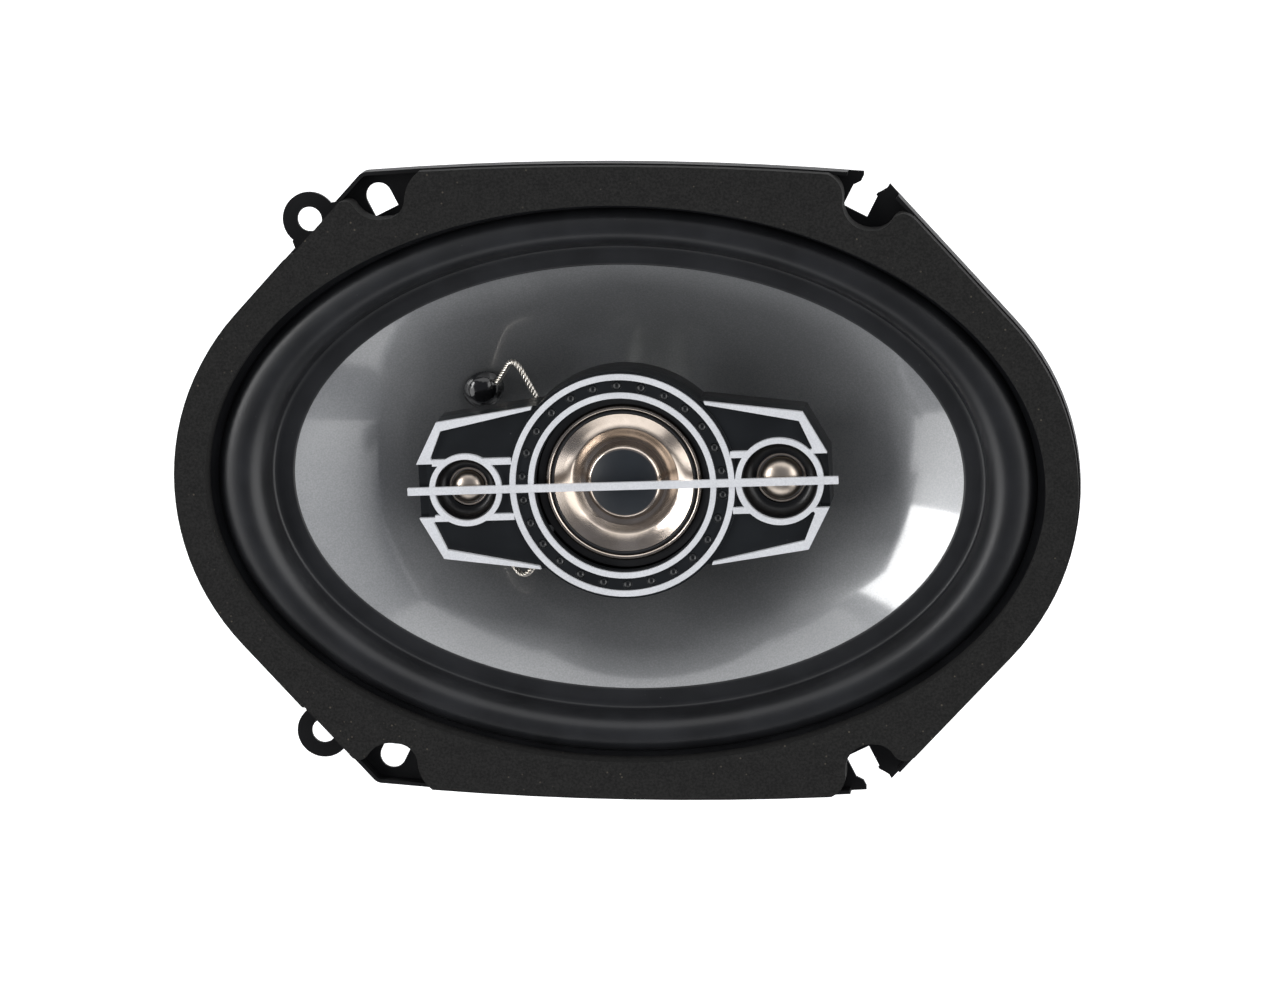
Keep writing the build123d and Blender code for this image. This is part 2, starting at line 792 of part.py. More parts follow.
upper_route = [
    (-33.7, 21.2, -17.0),
    (-31.9, 24.6, -14.6),
    (-30.2, 27.6, -12.4),
    (-28.0, 27.2, -10.8),
    (-25.6, 23.2, -10.0),
    (-22.9, 18.2, -10.1),
    (-20.9, 13.9, -9.0),
]
lower_route = [
    (-33.4, -21.4, -17.2),
    (-31.0, -25.0, -15.6),
    (-28.6, -27.4, -13.6),
    (-26.2, -26.6, -11.8),
    (-24.0, -22.8, -10.6),
    (-22.2, -18.0, -10.2),
    (-20.9, -13.9, -9.0),
]


def pod_parts():
    """Everything that sits on the post, before the pod is turned."""
    return {
        "pod_base": pod_base(),
        "pod_bezel": pod_bezel(),
        "silver_trim": silver_trim(),
        "pod_screws": pod_screws(),
        "pod_nut": pod_nut(),
        "mid_frame": mid_frame(),
        "mid_rim_ring": mid_rim_ring(),
        "mid_surround": mid_surround(),
        "mid_cone": mid_cone(),
        "mid_cap": mid_cap(),
        "mid_centre_ring": mid_centre_ring(),
        "mid_coil": mid_coil(),
        "mid_yoke": mid_yoke(),
        "mid_magnet": mid_magnet(),
        "mid_top_plate": mid_top_plate(),
        "left_tweeter_cup": small_cup(7.6, left_dome_r + 1.0, -small_x),
        "right_tweeter_cup": small_cup(9.35, right_dome_r + 1.0, small_x),
        "left_dome": small_dome(left_dome_r, -small_x),
        "right_dome": small_dome(right_dome_r, small_x),
        "left_dome_coil": small_coil(left_dome_r, -small_x),
        "right_dome_coil": small_coil(right_dome_r, small_x),
        "left_dome_ring": small_edge(left_dome_r, 0.95, -small_x),
        "right_dome_ring": small_edge(right_dome_r, 0.95, small_x),
        "left_tweeter_motor": small_motor(left_dome_r, -small_x),
        "right_tweeter_motor": small_motor(right_dome_r, small_x),
        "left_capacitor": capacitor(-40.5, 10.6, 2.2, 9.0),
        "right_capacitor": capacitor(40.5, 11.4, 2.2, 9.0),
        "mid_capacitor": capacitor(40.0, -11.4, 2.6, 11.0),
    }


def frame_parts():
    """Everything on the flange's own axes."""
    return {
        "basket": basket(),
        "front_gasket": front_gasket(),
        "surround": surround(),
        "spider": spider(),
        "cone": cone(),
        "voice_coil_former": voice_coil_former(),
        "voice_coil": voice_coil(),
        "neck_joint": neck_joint(),
        "cone_eyelets": cone_eyelets(),
        "lead_glue": lead_glue(),
        "front_plate": front_plate(),
        "frame_rivets": frame_rivets(),
        "magnet": magnet(),
        "yoke": yoke(),
        "magnet_boot": magnet_boot(),
        "terminal_board": terminal_board(),
        "positive_terminal": spade(6.5, 6.3),
        "negative_terminal": spade(-6.5, 4.8),
        "terminal_rivets": terminal_rivets(),
        "positive_rear_lead": rear_lead(1),
        "negative_rear_lead": rear_lead(-1),
        "upper_front_lead": front_lead(upper_route),
        "lower_front_lead": front_lead(lower_route),
        "tweeter_post": tweeter_post(),
        "pod_bolt": pod_bolt(),
    }


def main():
    os.makedirs("parts", exist_ok=True)
    nodes = frame_parts()
    for name, shape in pod_parts().items():
        nodes[name] = Rot(0, 0, pod_turn) * shape
    for name, shape in nodes.items():
        export_step(shape, f"parts/{name}.step")
        print(name, len(shape.solids()), round(shape.volume, 1))


main()
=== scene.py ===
import json
import math
import bpy
import numpy
from mathutils import Matrix, Vector

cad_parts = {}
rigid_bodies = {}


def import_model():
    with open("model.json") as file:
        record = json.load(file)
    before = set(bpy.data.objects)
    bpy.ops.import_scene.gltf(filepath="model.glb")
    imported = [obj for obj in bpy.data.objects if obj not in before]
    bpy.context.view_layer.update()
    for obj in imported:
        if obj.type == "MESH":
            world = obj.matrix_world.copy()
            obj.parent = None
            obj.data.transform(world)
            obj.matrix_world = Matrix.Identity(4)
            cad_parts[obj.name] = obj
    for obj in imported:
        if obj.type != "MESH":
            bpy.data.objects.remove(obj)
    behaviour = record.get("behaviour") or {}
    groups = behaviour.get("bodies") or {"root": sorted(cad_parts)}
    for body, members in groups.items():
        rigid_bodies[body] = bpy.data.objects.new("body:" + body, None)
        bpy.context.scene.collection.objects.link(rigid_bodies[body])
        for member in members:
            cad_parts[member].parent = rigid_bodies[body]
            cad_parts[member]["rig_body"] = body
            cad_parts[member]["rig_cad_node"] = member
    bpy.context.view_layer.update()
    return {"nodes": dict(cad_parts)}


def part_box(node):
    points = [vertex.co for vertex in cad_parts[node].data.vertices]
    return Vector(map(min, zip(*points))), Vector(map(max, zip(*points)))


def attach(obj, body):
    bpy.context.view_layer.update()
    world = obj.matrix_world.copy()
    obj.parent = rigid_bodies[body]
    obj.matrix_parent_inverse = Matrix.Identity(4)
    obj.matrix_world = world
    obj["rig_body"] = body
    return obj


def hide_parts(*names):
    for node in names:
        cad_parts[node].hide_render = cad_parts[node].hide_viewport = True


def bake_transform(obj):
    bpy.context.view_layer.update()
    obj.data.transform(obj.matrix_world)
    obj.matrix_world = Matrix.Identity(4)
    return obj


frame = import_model()
nodes = frame["nodes"]
mm = 0.001    # shapes are given in millimetres, lamps and camera in metres
print("frame loaded,", len(nodes), "nodes")


# shader maths: a socket that can be added, multiplied and so on
class Flow:
    def __init__(self, shade, socket):
        self.shade = shade
        self.socket = socket

    def maths(self, operation, *others, flipped=False):
        parts = [self, *others]
        if flipped:
            parts.reverse()
        return self.shade.node("ShaderNodeMath", {"operation": operation}, dict(enumerate(parts)))

    def __add__(self, other):
        return self.maths("ADD", other)

    def __radd__(self, other):
        return self.maths("ADD", other)

    def __sub__(self, other):
        return self.maths("SUBTRACT", other)

    def __rsub__(self, other):
        return self.maths("SUBTRACT", other, flipped=True)

    def __mul__(self, other):
        return self.maths("MULTIPLY", other)

    def __rmul__(self, other):
        return self.maths("MULTIPLY", other)

    def smooth(self, low, high):
        return self.shade.node("ShaderNodeMapRange", {"interpolation_type": "SMOOTHSTEP"},
                               {"Value": self, "From Min": low, "From Max": high}, "Result")


class Shade:
    def __init__(self, name):
        self.material = bpy.data.materials.new(name)
        self.material.use_nodes = True
        self.tree = self.material.node_tree
        self.surface = self.tree.nodes["Principled BSDF"]

    def feed(self, socket, value):
        if isinstance(value, Flow):
            self.tree.links.new(value.socket, socket)
        elif isinstance(value, (tuple, list)) and len(value) == 3 and socket.type == "RGBA":
            socket.default_value = (*value, 1.0)
        else:
            socket.default_value = value

    def node(self, kind, settings, inputs, output=0):
        made = self.tree.nodes.new(kind)
        for key, value in settings.items():
            setattr(made, key, value)
        for key, value in inputs.items():
            self.feed(made.inputs[key], value)
        return Flow(self, made.outputs[output])

    def place(self, scale=(1.0, 1.0, 1.0)):
        where = self.node("ShaderNodeTexCoord", {}, {}, "Object")
        return self.node("ShaderNodeMapping", {}, {"Vector": where, "Scale": scale})

    def grain(self, scale, detail=2.0, roughness=0.5, stretch=(1.0, 1.0, 1.0)):
        return self.node("ShaderNodeTexNoise", {}, {"Vector": self.place(stretch), "Scale": scale,
                                                    "Detail": detail, "Roughness": roughness})

    def specks(self, scale, size):
        cells = self.node("ShaderNodeTexVoronoi", {}, {"Vector": self.place(), "Scale": scale})
        return 1 - cells.smooth(size * 0.6, size)

    def blendColour(self, factor, first, second):
        mixed = self.node("ShaderNodeMix", {"data_type": "RGBA"}, {0: factor}, 2)
        made = mixed.socket.node
        self.feed(made.inputs[6], first)
        self.feed(made.inputs[7], second)
        return mixed

    def bump(self, height, distance, strength=1.0):
        return self.node("ShaderNodeBump", {}, {"Height": height, "Distance": distance, "Strength": strength})

    def finish(self, **values):
        sockets = {"colour": "Base Color", "rough": "Roughness", "metal": "Metallic",
                   "coat": "Coat Weight", "coatRough": "Coat Roughness", "coatIor": "Coat IOR",
                   "specular": "Specular IOR Level", "normal": "Normal",
                   "glow": "Emission Color", "glowPower": "Emission Strength"}
        for key, value in values.items():
            self.feed(self.surface.inputs[sockets[key]], value)
        return self.material


# finishes
foamLook = {"dark": (0.0068, 0.0068, 0.0066), "light": (0.0165, 0.0162, 0.0155),
            "fleck": (0.060, 0.053, 0.042)}


def foamFinish():
    shade = Shade("foamSpeckled")
    pores = shade.grain(1500, 3, 0.7)
    patches = shade.grain(260, 2, 0.6)
    base = shade.blendColour((pores * 0.8 + patches * 0.2).smooth(0.34, 0.66), foamLook["dark"],
                             foamLook["light"])
    flecks = shade.specks(520, 0.16) * shade.grain(330, 1).smooth(0.52, 0.66)
    colour = shade.blendColour(flecks, base, foamLook["fleck"])
    dents = shade.bump(pores + shade.grain(2600, 2) * 0.5, 0.00012, 0.55)
    return shade.finish(colour=colour, rough=0.93, specular=0.22, normal=dents)


def rubberFinish(name, colour, rough):
    shade = Shade(name)
    cloud = shade.grain(60, 3, 0.6)
    dust = shade.specks(430, 0.09) * shade.grain(75, 2).smooth(0.55, 0.72)
    tint = tuple(c * 1.9 for c in colour)
    skin = shade.blendColour(cloud.smooth(0.3, 0.7), colour, tint)
    skin = shade.blendColour(dust * 0.5, skin, (0.12, 0.12, 0.115))
    dents = shade.bump(shade.grain(1500, 2), 0.00003, 0.35)
    return shade.finish(colour=skin, rough=cloud * 0.1 + rough, specular=0.42, normal=dents)


def steelPaintFinish():
    shade = Shade("frameBlackPaint")
    peel = shade.grain(420, 2, 0.5)
    cloud = shade.grain(45, 3)
    colour = shade.blendColour(cloud.smooth(0.3, 0.7), (0.0032, 0.0032, 0.0036), (0.0065, 0.0065, 0.007))
    return shade.finish(colour=colour, rough=cloud * 0.12 + 0.46, specular=0.16,
                        normal=shade.bump(peel, 0.00006, 0.4))


def coneFinish():
    shade = Shade("coneSilver")
    flake = shade.grain(2400, 1, 0.6)
    cloud = shade.grain(28, 3, 0.55)
    mixed = (flake * 0.55 + cloud * 0.45).smooth(0.32, 0.68)
    colour = shade.blendColour(mixed, (0.235, 0.24, 0.245), (0.31, 0.315, 0.32))
    dents = shade.bump(flake * 0.6 + shade.grain(160, 2) * 0.4, 0.00004, 0.3)
    return shade.finish(colour=colour, metal=0.75, rough=cloud * 0.08 + 0.42, coat=1.0, coatRough=0.09,
                        coatIor=1.65, normal=dents)


def trimFinish():
    shade = Shade("trimSilver")
    grit = shade.grain(2600, 2, 0.6)
    cloud = shade.grain(120, 2)
    mixed = (grit * 0.7 + cloud * 0.3).smooth(0.35, 0.65)
    colour = shade.blendColour(mixed, (0.65, 0.66, 0.68), (0.75, 0.76, 0.78))
    return shade.finish(colour=colour, metal=0.25, rough=cloud * 0.1 + 0.36, coat=0.1, coatRough=0.2,
                        normal=shade.bump(grit, 0.00002, 0.25))


def bronzeFinish(name, dark, light, rough):
    shade = Shade(name)
    cloud = shade.grain(110, 3, 0.5)
    fine = shade.grain(1500, 2)
    colour = shade.blendColour(cloud.smooth(0.3, 0.7), dark, light)
    return shade.finish(colour=colour, metal=1.0, rough=fine * 0.06 + rough,
                        normal=shade.bump(fine, 0.00002, 0.15))


def plasticFinish(name, dark, light, rough, grainDepth, specular=0.5):
    shade = Shade(name)
    grain = shade.grain(1300, 3, 0.65)
    cloud = shade.grain(80, 2)
    dust = shade.specks(360, 0.07) * shade.grain(60, 2).smooth(0.56, 0.7)
    skin = shade.blendColour(cloud.smooth(0.3, 0.7), dark, light)
    skin = shade.blendColour(dust * 0.4, skin, (0.14, 0.14, 0.14))
    return shade.finish(colour=skin, rough=cloud * 0.08 + rough, specular=specular,
                        normal=shade.bump(grain, grainDepth, 0.4))


def metalFinish(name, dark, light, rough, stretch=(1.0, 1.0, 1.0), scale=500):
    shade = Shade(name)
    lines = shade.grain(scale, 3, 0.6, stretch)
    cloud = shade.grain(60, 3)
    colour = shade.blendColour((lines * 0.6 + cloud * 0.4).smooth(0.3, 0.7), dark, light)
    return shade.finish(colour=colour, metal=1.0, rough=cloud * 0.16 + rough,
                        normal=shade.bump(lines, 0.00003, 0.3))


def clothFinish():
    shade = Shade("spiderCloth")
    across = shade.node("ShaderNodeTexWave", {"bands_direction": "X"},
                        {"Vector": shade.place(), "Scale": 420, "Distortion": 0.6})
    along = shade.node("ShaderNodeTexWave", {"bands_direction": "Y"},
                       {"Vector": shade.place(), "Scale": 420, "Distortion": 0.6})
    weave = across * along
    colour = shade.blendColour(weave, (0.30, 0.20, 0.075), (0.58, 0.44, 0.21))
    return shade.finish(colour=colour, rough=0.7, specular=0.3, normal=shade.bump(weave, 0.0001, 0.6))


def glueFinish():
    shade = Shade("glossyAdhesive")
    swirl = shade.grain(220, 3, 0.6)
    colour = shade.blendColour(swirl, (0.004, 0.004, 0.0045), (0.009, 0.009, 0.01))
    return shade.finish(colour=colour, rough=swirl * 0.12 + 0.07, specular=0.6,
                        normal=shade.bump(swirl, 0.0005, 0.35))


finishes = {
    "steel": steelPaintFinish(),
    "foam": foamFinish(),
    "rubber": rubberFinish("surroundRubber", (0.0062, 0.0065, 0.0075), 0.35),
    "boot": rubberFinish("bootRubber", (0.009, 0.009, 0.0095), 0.55),
    "cone": coneFinish(),
    "trim": trimFinish(),
    "midCone": bronzeFinish("midBronze", (0.44, 0.375, 0.315), (0.58, 0.505, 0.44), 0.17),
    "dome": bronzeFinish("domeBronze", (0.50, 0.43, 0.36), (0.66, 0.58, 0.50), 0.3),
    "bezel": plasticFinish("bezelCharcoal", (0.0034, 0.0042, 0.005), (0.0062, 0.0075, 0.0088), 0.27, 0.00003),
    "tray": plasticFinish("trayBlack", (0.006, 0.006, 0.0065), (0.011, 0.011, 0.012), 0.4, 0.00005),
    "cap": plasticFinish("capCharcoal", (0.008, 0.0105, 0.014), (0.013, 0.0165, 0.021), 0.36, 0.00002),
    "cup": plasticFinish("cupGloss", (0.0022, 0.0022, 0.0024), (0.004, 0.004, 0.0044), 0.26, 0.00001, 0.35),
    "glue": glueFinish(),
    "cloth": clothFinish(),
    "zinc": metalFinish("zincSteel", (0.42, 0.43, 0.42), (0.62, 0.62, 0.58), 0.3),
    "brass": metalFinish("brassPart", (0.52, 0.38, 0.16), (0.75, 0.58, 0.28), 0.28),
    "blackZinc": metalFinish("blackZinc", (0.03, 0.03, 0.034), (0.07, 0.07, 0.075), 0.32),
    "copper": metalFinish("windingCopper", (0.36, 0.14, 0.05), (0.66, 0.30, 0.12), 0.3, (1.0, 1.0, 9.0), 320),
    "foil": metalFinish("formerFoil", (0.55, 0.55, 0.56), (0.74, 0.74, 0.75), 0.25),
    "ferrite": plasticFinish("ferriteGrey", (0.035, 0.035, 0.037), (0.065, 0.065, 0.07), 0.6, 0.00008),
    "board": plasticFinish("boardBrown", (0.12, 0.06, 0.025), (0.21, 0.11, 0.05), 0.5, 0.00005),
    "tinsel": metalFinish("tinselSilver", (0.50, 0.46, 0.40), (0.86, 0.83, 0.77), 0.24, scale=1800),
    "sleeve": plasticFinish("sleeveBlue", (0.012, 0.02, 0.07), (0.02, 0.035, 0.11), 0.25, 0.00003),
}
print("finishes made")


# modelling helpers
def clearSelection():
    active = bpy.context.view_layer.objects.active
    if active and active.mode != "OBJECT":
        bpy.ops.object.mode_set(mode="OBJECT")
    bpy.ops.object.select_all(action="DESELECT")


def pick(piece):
    clearSelection()
    piece.select_set(True)
    bpy.context.view_layer.objects.active = piece


def editAll(piece):
    pick(piece)
    bpy.ops.object.mode_set(mode="EDIT")
    bpy.ops.mesh.select_all(action="SELECT")


def applyModifiers(piece):
    pick(piece)
    for modifier in list(piece.modifiers):
        bpy.ops.object.modifier_apply(modifier=modifier.name)


def dress(piece, finish, body, slotName, *replaced):
    piece.data.materials.clear()
    piece.data.materials.append(finishes[finish])
    if body:
        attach(piece, body)
    if replaced:
        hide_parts(*replaced)
    return piece


def smoothBy(piece, degrees):
    pick(piece)
    bpy.ops.object.shade_smooth_by_angle(angle=math.radians(degrees))


def flipWhen(piece, wrong):
    if wrong:
        editAll(piece)
        bpy.ops.mesh.flip_normals()
        bpy.ops.object.mode_set(mode="OBJECT")


def faceUp(piece):
    # an open skin looks upwards, so that its wall goes below it
    total = sum(face.normal.z * face.area for face in piece.data.polygons)
    flipWhen(piece, total < 0)


def faceOut(piece):
    # an open turned wall looks away from the middle axis
    total = sum(face.normal.xy.dot(face.center.xy) * face.area for face in piece.data.polygons)
    flipWhen(piece, total < 0)


def ringStack(name, sections, sides, pole=False, closed=False, place=(0.0, 0.0)):
    # one circle, then extrude, scale and lift for each next section: half length, half width, z in mm
    clearSelection()
    wide, high, level = sections[0]
    bpy.ops.mesh.primitive_circle_add(vertices=sides, radius=mm)
    piece = bpy.context.object
    piece.name = name
    piece.data.name = name
    bpy.ops.object.mode_set(mode="EDIT")
    bpy.ops.mesh.select_all(action="SELECT")
    bpy.ops.transform.resize(value=(wide, high, 1.0), center_override=(0.0, 0.0, 0.0))
    bpy.ops.transform.translate(value=(0.0, 0.0, level * mm))
    for before, here in zip(sections, sections[1:]):
        bpy.ops.mesh.extrude_edges_move()
        bpy.ops.transform.resize(value=(here[0] / before[0], here[1] / before[1], 1.0),
                                 center_override=(0.0, 0.0, before[2] * mm))
        bpy.ops.transform.translate(value=(0.0, 0.0, (here[2] - before[2]) * mm))
    if pole:
        bpy.ops.mesh.merge(type="CENTER")
    bpy.ops.mesh.select_all(action="SELECT")
    if closed:
        bpy.ops.mesh.remove_doubles(threshold=0.004 * mm)
        bpy.ops.mesh.normals_make_consistent(inside=False)
    if place != (0.0, 0.0):
        bpy.ops.transform.translate(value=(place[0] * mm, place[1] * mm, 0.0))
    bpy.ops.object.mode_set(mode="OBJECT")
    return piece


def turnedStack(name, profile, sides, **options):
    return ringStack(name, [(r, r, z) for r, z in profile], sides, **options)


def arcRun(centre, radii, start, end, steps):
    # points of an arc of an ellipse, in degrees, in an (r, z) section
    found = []
    for i in range(steps + 1):
        angle = math.radians(start + (end - start) * i / steps)
        found.append((centre[0] + radii[0] * math.cos(angle), centre[1] + radii[1] * math.sin(angle)))
    return found


def thicken(piece, wall):
    solid = piece.modifiers.new("wall", "SOLIDIFY")
    solid.thickness = wall * mm
    solid.offset = -1.0
    solid.use_even_offset = True
    applyModifiers(piece)


sharp = {"bevelFrom": 32, "smoothTo": 38, "flatWithin": 0.6, "weld": 0.002, "offMiddle": 0.3}


def softenEdges(piece, width, segments):
    bevel = piece.modifiers.new("edges", "BEVEL")
    bevel.limit_method = "ANGLE"
    bevel.angle_limit = math.radians(sharp["bevelFrom"])
    bevel.width = width * mm
    bevel.segments = segments
    bevel.use_clamp_overlap = True
    applyModifiers(piece)
    smoothBy(piece, sharp["smoothTo"])
    weighted = piece.modifiers.new("flats", "WEIGHTED_NORMAL")
    weighted.keep_sharp = True
    applyModifiers(piece)


def copyOf(nodeName, name):
    pick(nodes[nodeName])
    bpy.ops.object.duplicate()
    piece = bpy.context.object
    piece.name = name
    piece.data.name = name
    piece.parent = None
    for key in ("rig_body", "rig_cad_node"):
        if key in piece:
            del piece[key]
    editAll(piece)
    bpy.ops.mesh.remove_doubles(threshold=sharp["weld"] * mm)
    # cuts close to the two middle planes keep every ring-shaped face in simple parts
    middle = sharp["offMiddle"] * mm
    for across in ((1.0, 0.0, 0.0), (0.0, 1.0, 0.0)):
        bpy.ops.mesh.select_all(action="SELECT")
        bpy.ops.mesh.bisect(plane_co=(middle, middle, 0.0), plane_no=across)
        bpy.ops.mesh.mark_seam()
    bpy.ops.mesh.select_all(action="SELECT")
    bpy.ops.mesh.dissolve_limited(angle_limit=math.radians(sharp["flatWithin"]), delimit={"SEAM"})
    bpy.ops.object.mode_set(mode="OBJECT")
    return piece


def finishedCopy(nodeName, name, finish, body, slotName, width, segments=2):
    piece = copyOf(nodeName, name)
    softenEdges(piece, width, segments)
    return dress(piece, finish, body, slotName, nodeName)


def between(first, second, share):
    return tuple(a + (b - a) * share for a, b in zip(first, second))


def radialBlend(piece, outer, inner):
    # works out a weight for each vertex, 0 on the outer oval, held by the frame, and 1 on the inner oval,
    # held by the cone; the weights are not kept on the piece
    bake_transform(piece)
    weights = numpy.zeros(len(piece.data.vertices), numpy.float32)
    for vertex in piece.data.vertices:
        x, y = vertex.co.x / mm, vertex.co.y / mm
        far = math.hypot(x / outer[0], y / outer[1])
        near = math.hypot(x / inner[0], y / inner[1])
        share = 1.0
        if near > 1.0:
            share = min(1.0, max(0.0, (1.0 - far) / max(1e-6, (1.0 - far) + (near - 1.0))))
        weights[vertex.index] = share * share * (3 - 2 * share)


# frame and foam
finishedCopy("basket", "steelFrame", "steel", "frame_body", "black_steel", 0.22)
print("frame done")
finishedCopy("front_gasket", "foamRing", "foam", "frame_body", "foam", 0.38, 3)
print("foam done")

# surround: glued outer flange, half roll, inner land
# stepDown and lip hold pairs: share of the way across the land, height
edge = {"outer": (102.0, 68.5), "inner": (89.3, 58.8), "flange": (105.6, 71.6), "land": (83.6, 53.6),
        "crown": 5.4, "outerFoot": 1.6, "innerFoot": -2.0, "wall": 0.6, "sides": 256,
        "stepDown": ((0.04, -2.3), (0.14, -2.6), (0.3, -2.7)),
        "lip": ((0.88, -2.7), (0.97, -2.82), (1.0, -3.04))}


def surround():
    outer, inner, crown = edge["outer"], edge["inner"], edge["crown"]
    sections = [(*spot, edge["outerFoot"]) for spot in (edge["flange"], between(outer, edge["flange"], 0.3))]
    mid = 0.5    # the crown lies halfway between the two feet
    rising = arcRun((mid, edge["outerFoot"]), (mid, crown - edge["outerFoot"]), 4, 90, 12)
    falling = arcRun((mid, edge["innerFoot"]), (mid, crown - edge["innerFoot"]), 90, 176, 14)
    sections += [(*between(inner, outer, share), level) for share, level in rising + falling[1:]]
    flat = edge["stepDown"] + edge["lip"]
    sections += [(*between(inner, edge["land"], share), level) for share, level in flat]
    piece = ringStack("rubberSurround", sections, edge["sides"])
    faceUp(piece)
    thicken(piece, edge["wall"])
    smoothBy(piece, 50)
    radialBlend(piece, edge["outer"], edge["inner"])
    dress(piece, "rubber", None, "surround_rubber", "surround")


surround()
print("surround done")

# cone
coneShape = {"rim": (88.7, 58.2), "edge": (83.7, 53.7), "neck": (13.3, 13.3), "rimZ": -3.4, "neckZ": -33.6,
             "wall": 0.9, "bow": 0.9, "sides": 256, "rows": 26}


def cone():
    top, low, rows = coneShape["rimZ"], coneShape["neckZ"], coneShape["rows"]
    sections = [(*coneShape["rim"], top), (*between(coneShape["edge"], coneShape["rim"], 0.12), top)]
    for i in range(rows + 1):
        share = i / rows
        bow = coneShape["bow"] * math.sin(math.pi * share)
        level = top + (low - top) * share - bow
        sections.append((*between(coneShape["edge"], coneShape["neck"], share), level))
    piece = ringStack("silverCone", sections, coneShape["sides"])
    faceUp(piece)
    thicken(piece, coneShape["wall"])
    smoothBy(piece, 12)    # a low angle keeps the glued rim crisp
    dress(piece, "cone", "cone_body", "silver_cone", "cone")


cone()
print("cone done")


# spider
clothShape = {"collar": 13.3, "first": 16.5, "last": 36.3, "foot": 37.8, "rim": 44.2,
              "level": -34.0, "rimLift": 0.6, "waves": 5, "high": 0.85, "tuck": (0.5, 0.5, 1.1),
              "wall": 0.45, "sides": 160}


def spider():
    level, first, foot = clothShape["level"], clothShape["first"], clothShape["foot"]
    shelf = level + clothShape["rimLift"]
    profile = [(clothShape["rim"], shelf), (foot, shelf)]
    span = clothShape["last"] - first
    rows = clothShape["waves"] * 12
    for i in range(rows + 1):
        share = 1 - i / rows
        height = clothShape["high"] * math.sin(share * clothShape["waves"] * 2 * math.pi)
        profile.append((first + span * share, level + height))
    # the inner end tucks down against the former
    collar, (out, bend, drop) = clothShape["collar"], clothShape["tuck"]
    profile += [(collar + out, level - bend), (collar, level - drop)]
    piece = turnedStack("clothSpider", profile, clothShape["sides"])
    faceUp(piece)
    thicken(piece, clothShape["wall"])
    smoothBy(piece, 60)
    radialBlend(piece, (foot, foot), (first, first))
    dress(piece, "cloth", None, "spider_cloth", "spider")


spider()
print("spider done")


# glue blobs: remeshed and relaxed so that the adhesive looks poured
blob = {"voxel": 0.22, "settle": 0.6, "rounds": 2}


def glue():
    piece = copyOf("lead_glue", "glueBlobs")
    melt = piece.modifiers.new("melt", "REMESH")
    melt.mode = "VOXEL"
    melt.voxel_size = blob["voxel"] * mm
    settle = piece.modifiers.new("settle", "SMOOTH")
    settle.factor = blob["settle"]
    settle.iterations = blob["rounds"]
    applyModifiers(piece)
    smoothBy(piece, 80)
    dress(piece, "glue", "cone_body", "adhesive", "lead_glue")


glue()
print("glue done")

# leads: three strands laid round the route, points in mm
leadShape = {"strand": 0.4, "lay": 0.4, "pitch": 3.0, "strands": 3}
upperRoute = [(-34.6, 20.8, -17.4), (-31.9, 24.6, -14.6), (-30.2, 27.6, -12.4), (-28.0, 27.2, -10.8),
              (-25.6, 23.2, -10.0), (-22.9, 18.2, -10.1), (-20.9, 13.9, -9.0)]
lowerRoute = [(-33.4, -21.4, -17.2), (-31.0, -25.0, -15.6), (-28.6, -27.4, -13.6), (-26.2, -26.6, -11.8),
              (-24.0, -22.8, -10.6), (-22.2, -18.0, -10.2), (-20.9, -13.9, -9.0)]


def rearRoute(side):
    return [(-56.9, side * 6.5, -27.8), (-60.5, side * 8.0, -25.6), (-60.6, side * 12.0, -21.6),
            (-55.6, side * 16.4, -20.6), (-49.2, side * 19.0, -22.0), (-43.6, side * 19.5, -23.9),
            (-39.2, side * 19.5, -24.1)]


def splineOf(name, route):
    curve = bpy.data.curves.new(name, "CURVE")
    curve.dimensions = "3D"
    curve.resolution_u = 24
    line = curve.splines.new("NURBS")
    line.points.add(len(route) - 1)
    for point, place in zip(line.points, route):
        point.co = (*[v * mm for v in place], 1.0)
    line.order_u = 3
    line.use_endpoint_u = True
    return curve


def strandOf(name, middle, turned):
    rope = bpy.data.curves.new(name, "CURVE")
    rope.dimensions = "3D"
    rope.bevel_depth = leadShape["strand"] * mm
    rope.bevel_resolution = 3
    rope.use_fill_caps = True
    run = rope.splines.new("POLY")
    run.points.add(len(middle) - 1)
    gone = 0.0
    side = Vector((0, 0, 1))
    for i, here in enumerate(middle):
        ahead = middle[min(i + 1, len(middle) - 1)] - middle[max(i - 1, 0)]
        ahead.normalize()
        if i:
            gone += (here - middle[i - 1]).length
        side = (side - side.dot(ahead) * ahead).normalized()
        other = ahead.cross(side)
        angle = 2 * math.pi * (gone / (leadShape["pitch"] * mm) + turned)
        away = (side * math.cos(angle) + other * math.sin(angle)) * leadShape["lay"] * mm
        run.points[i].co = (*(here + away), 1.0)
    made = bpy.data.objects.new(name, rope)
    bpy.context.scene.collection.objects.link(made)
    return made


def lead(name, route, nodeName):
    holder = bpy.data.objects.new(name + "Line", splineOf(name + "Line", route))
    bpy.context.scene.collection.objects.link(holder)
    middle = [v.co.copy() for v in bpy.data.meshes.new_from_object(holder).vertices]
    bpy.data.objects.remove(holder)
    count = leadShape["strands"]
    strands = [strandOf(name + str(i), middle, i / count) for i in range(count)]
    clearSelection()
    for made in strands:
        made.select_set(True)
    bpy.context.view_layer.objects.active = strands[0]
    bpy.ops.object.convert(target="MESH")
    bpy.ops.object.join()
    piece = bpy.context.object
    piece.name = name
    piece.data.name = name
    smoothBy(piece, 60)
    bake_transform(piece)
    dress(piece, "tinsel", None, "tinsel", nodeName)


